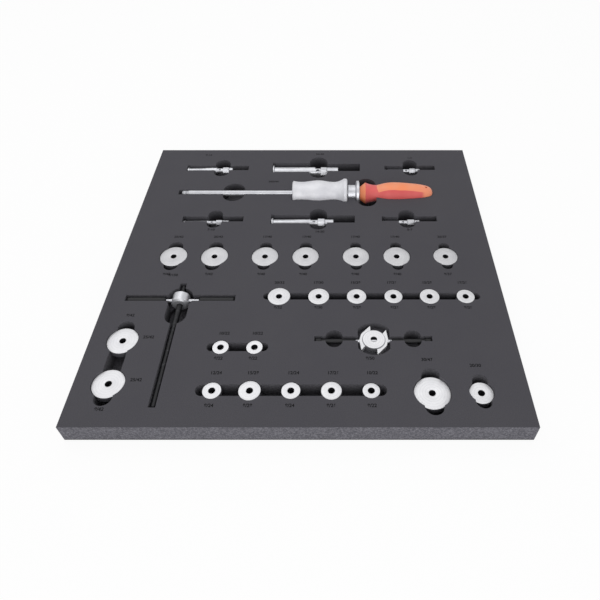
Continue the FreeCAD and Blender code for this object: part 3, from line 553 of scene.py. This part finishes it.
# Beside a drift stand its pilot's and its bearing's sizes, and its shaft's and its bearing's. By row, in
# millimetres: the first mark's shift along x from the drift and its y, then the second mark's
MARK_ROWS = {"large_drift": (0, 43, -2, -38), "medium_drift": (-1, -55, 0, -102),
             "small_drift": (2, -147, 0, -187), "lower_drift": (2, -209, 0, -255)}
SHAFT_SIZE = 8
LEFT_PAIR_MARKS_X = -205
LEFT_PAIR_MARKS_RISE = 4
LEFT_SHAFT_MARKS = [(-239, -116), (-239, -260)]
RIGHT_PAIR_MARKS_SHIFT = -2
RIGHT_PAIR_MARKS_Y = [-189, -198]


def number_mark(text, x, y, index):
    writing = bpy.data.curves.new("mark", "FONT")
    writing.body = text
    writing.size = MARK_SIZE
    writing.align_x = "CENTER"
    writing.align_y = "CENTER"
    writing.extrude = MARK_THICKNESS
    writing.offset = MARK_BOLDNESS
    carrier = placed("mark", writing)
    bpy.context.view_layer.update()
    mesh = bpy.data.meshes.new_from_object(carrier.evaluated_get(bpy.context.evaluated_depsgraph_get()))
    bpy.data.objects.remove(carrier)
    for vertex in mesh.vertices:
        vertex.co += Vector((x * MM, y * MM, FOAM_TOP + MARK_THICKNESS))
    mesh.materials.clear()
    mesh.materials.append(ink)
    mark = placed("number_mark_" + str(index), mesh)
    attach(mark, "tray")


for name in drifts:
    low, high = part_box(name)
    middle = (low + high) / 2 / MM
    row, index = row_and_index(name)
    pilot, size = DISC_SIZES[row][index]
    pilot_mark = "%d/%d" % (pilot, size)
    shaft_mark = "%d/%d" % (SHAFT_SIZE, size)
    if row == "left_drift":
        MARKS += [(pilot_mark, LEFT_PAIR_MARKS_X, middle.y + LEFT_PAIR_MARKS_RISE),
                  (shaft_mark, *LEFT_SHAFT_MARKS[index])]
    elif row == "right_drift":
        MARKS += [(pilot_mark, middle.x + RIGHT_PAIR_MARKS_SHIFT, RIGHT_PAIR_MARKS_Y[index])]
    else:
        pilot_shift, pilot_y, shaft_shift, shaft_y = MARK_ROWS[row]
        MARKS += [(pilot_mark, middle.x + pilot_shift, pilot_y),
                  (shaft_mark, middle.x + shaft_shift, shaft_y)]
for index, (text, x, y) in enumerate(MARKS, 1):
    number_mark(text, x, y, index)


# Floor, light and camera

FLOOR_HALF_WIDTH = 6.0
FLOOR_DROP = 0.2 * MM
FLOOR_GLOW = 0.93
SKY_LEVEL = 0.58


def camera_sees(tree):
    """1 for what the camera, a mirror or a glass looks at directly, 0 for the light that falls on things."""
    path = tree.nodes.new("ShaderNodeLightPath")
    total = path.outputs["Is Camera Ray"]
    for kind in ("Is Glossy Ray", "Is Transmission Ray"):
        either = tree.nodes.new("ShaderNodeMath")
        either.operation = "MAXIMUM"
        tree.links.new(total, either.inputs[0])
        tree.links.new(path.outputs[kind], either.inputs[1])
        total = either.outputs[0]
    return total


def pale_floor():
    """A plain studio floor that is white to the eye and still takes the tray's shadow."""
    finish = Finish("pale floor", roughness=0.9, specular=0.1)
    finish.shader.inputs["Base Color"].default_value = (0.92, 0.92, 0.92, 1.0)
    glow = finish.node("ShaderNodeEmission", {"Strength": 1.0})
    share = finish.maths("MULTIPLY", camera_sees(finish.tree), FLOOR_GLOW)
    mixed = finish.node("ShaderNodeMixShader", {0: share, 1: finish.shader.outputs[0], 2: glow.outputs[0]})
    out = next(node for node in finish.tree.nodes if node.type == "OUTPUT_MATERIAL")
    finish.tree.links.new(mixed.outputs[0], out.inputs["Surface"])
    return finish.material


floor_mesh = bpy.data.meshes.new("floor")
floor_corners = [(x * FLOOR_HALF_WIDTH, y * FLOOR_HALF_WIDTH, -FLOOR_DROP)
                 for x, y in ((-1, -1), (1, -1), (1, 1), (-1, 1))]
floor_mesh.from_pydata(floor_corners, [], [(0, 1, 2, 3)])
floor = placed("floor", floor_mesh)
floor_mesh.materials.append(pale_floor())

world = bpy.data.worlds.new("studio")
scene.world = world
world.use_nodes = True
sky = world.node_tree.nodes["Background"]
sky.inputs["Color"].default_value = (1.0, 1.0, 1.0, 1.0)
level = world.node_tree.nodes.new("ShaderNodeMapRange")
level.inputs["To Min"].default_value = SKY_LEVEL
level.inputs["To Max"].default_value = 1.0
world.node_tree.links.new(camera_sees(world.node_tree), level.inputs["Value"])
world.node_tree.links.new(level.outputs["Result"], sky.inputs["Strength"])


def soft_lamp(name, place, size, power):
    """A square lamp that shines on the tray's middle."""
    lamp = bpy.data.lights.new(name, "AREA")
    lamp.size = size
    lamp.energy = power
    holder = placed(name, lamp)
    holder.location = place
    holder.rotation_euler = (-Vector(place)).to_track_quat("-Z", "Y").to_euler()


soft_lamp("key", (-0.4, 0.5, 1.6), size=1.7, power=8.0)
soft_lamp("fill", (0.15, -1.7, 0.7), size=1.4, power=11.0)

# The camera that fits the tray's four corners in the photograph
camera_data = bpy.data.cameras.new("camera")
camera_data.sensor_width = 36.0
camera_data.lens = 33.57
camera_data.shift_x = -0.0610
camera_data.shift_y = -0.0745
camera = placed("camera", camera_data)
camera.location = (0.0449, -0.6057, FOAM_TOP + 0.6003)
camera.rotation_euler = (math.radians(45.33), 0.0, 0.0)
scene.camera = camera
scene.view_settings.view_transform = "Standard"
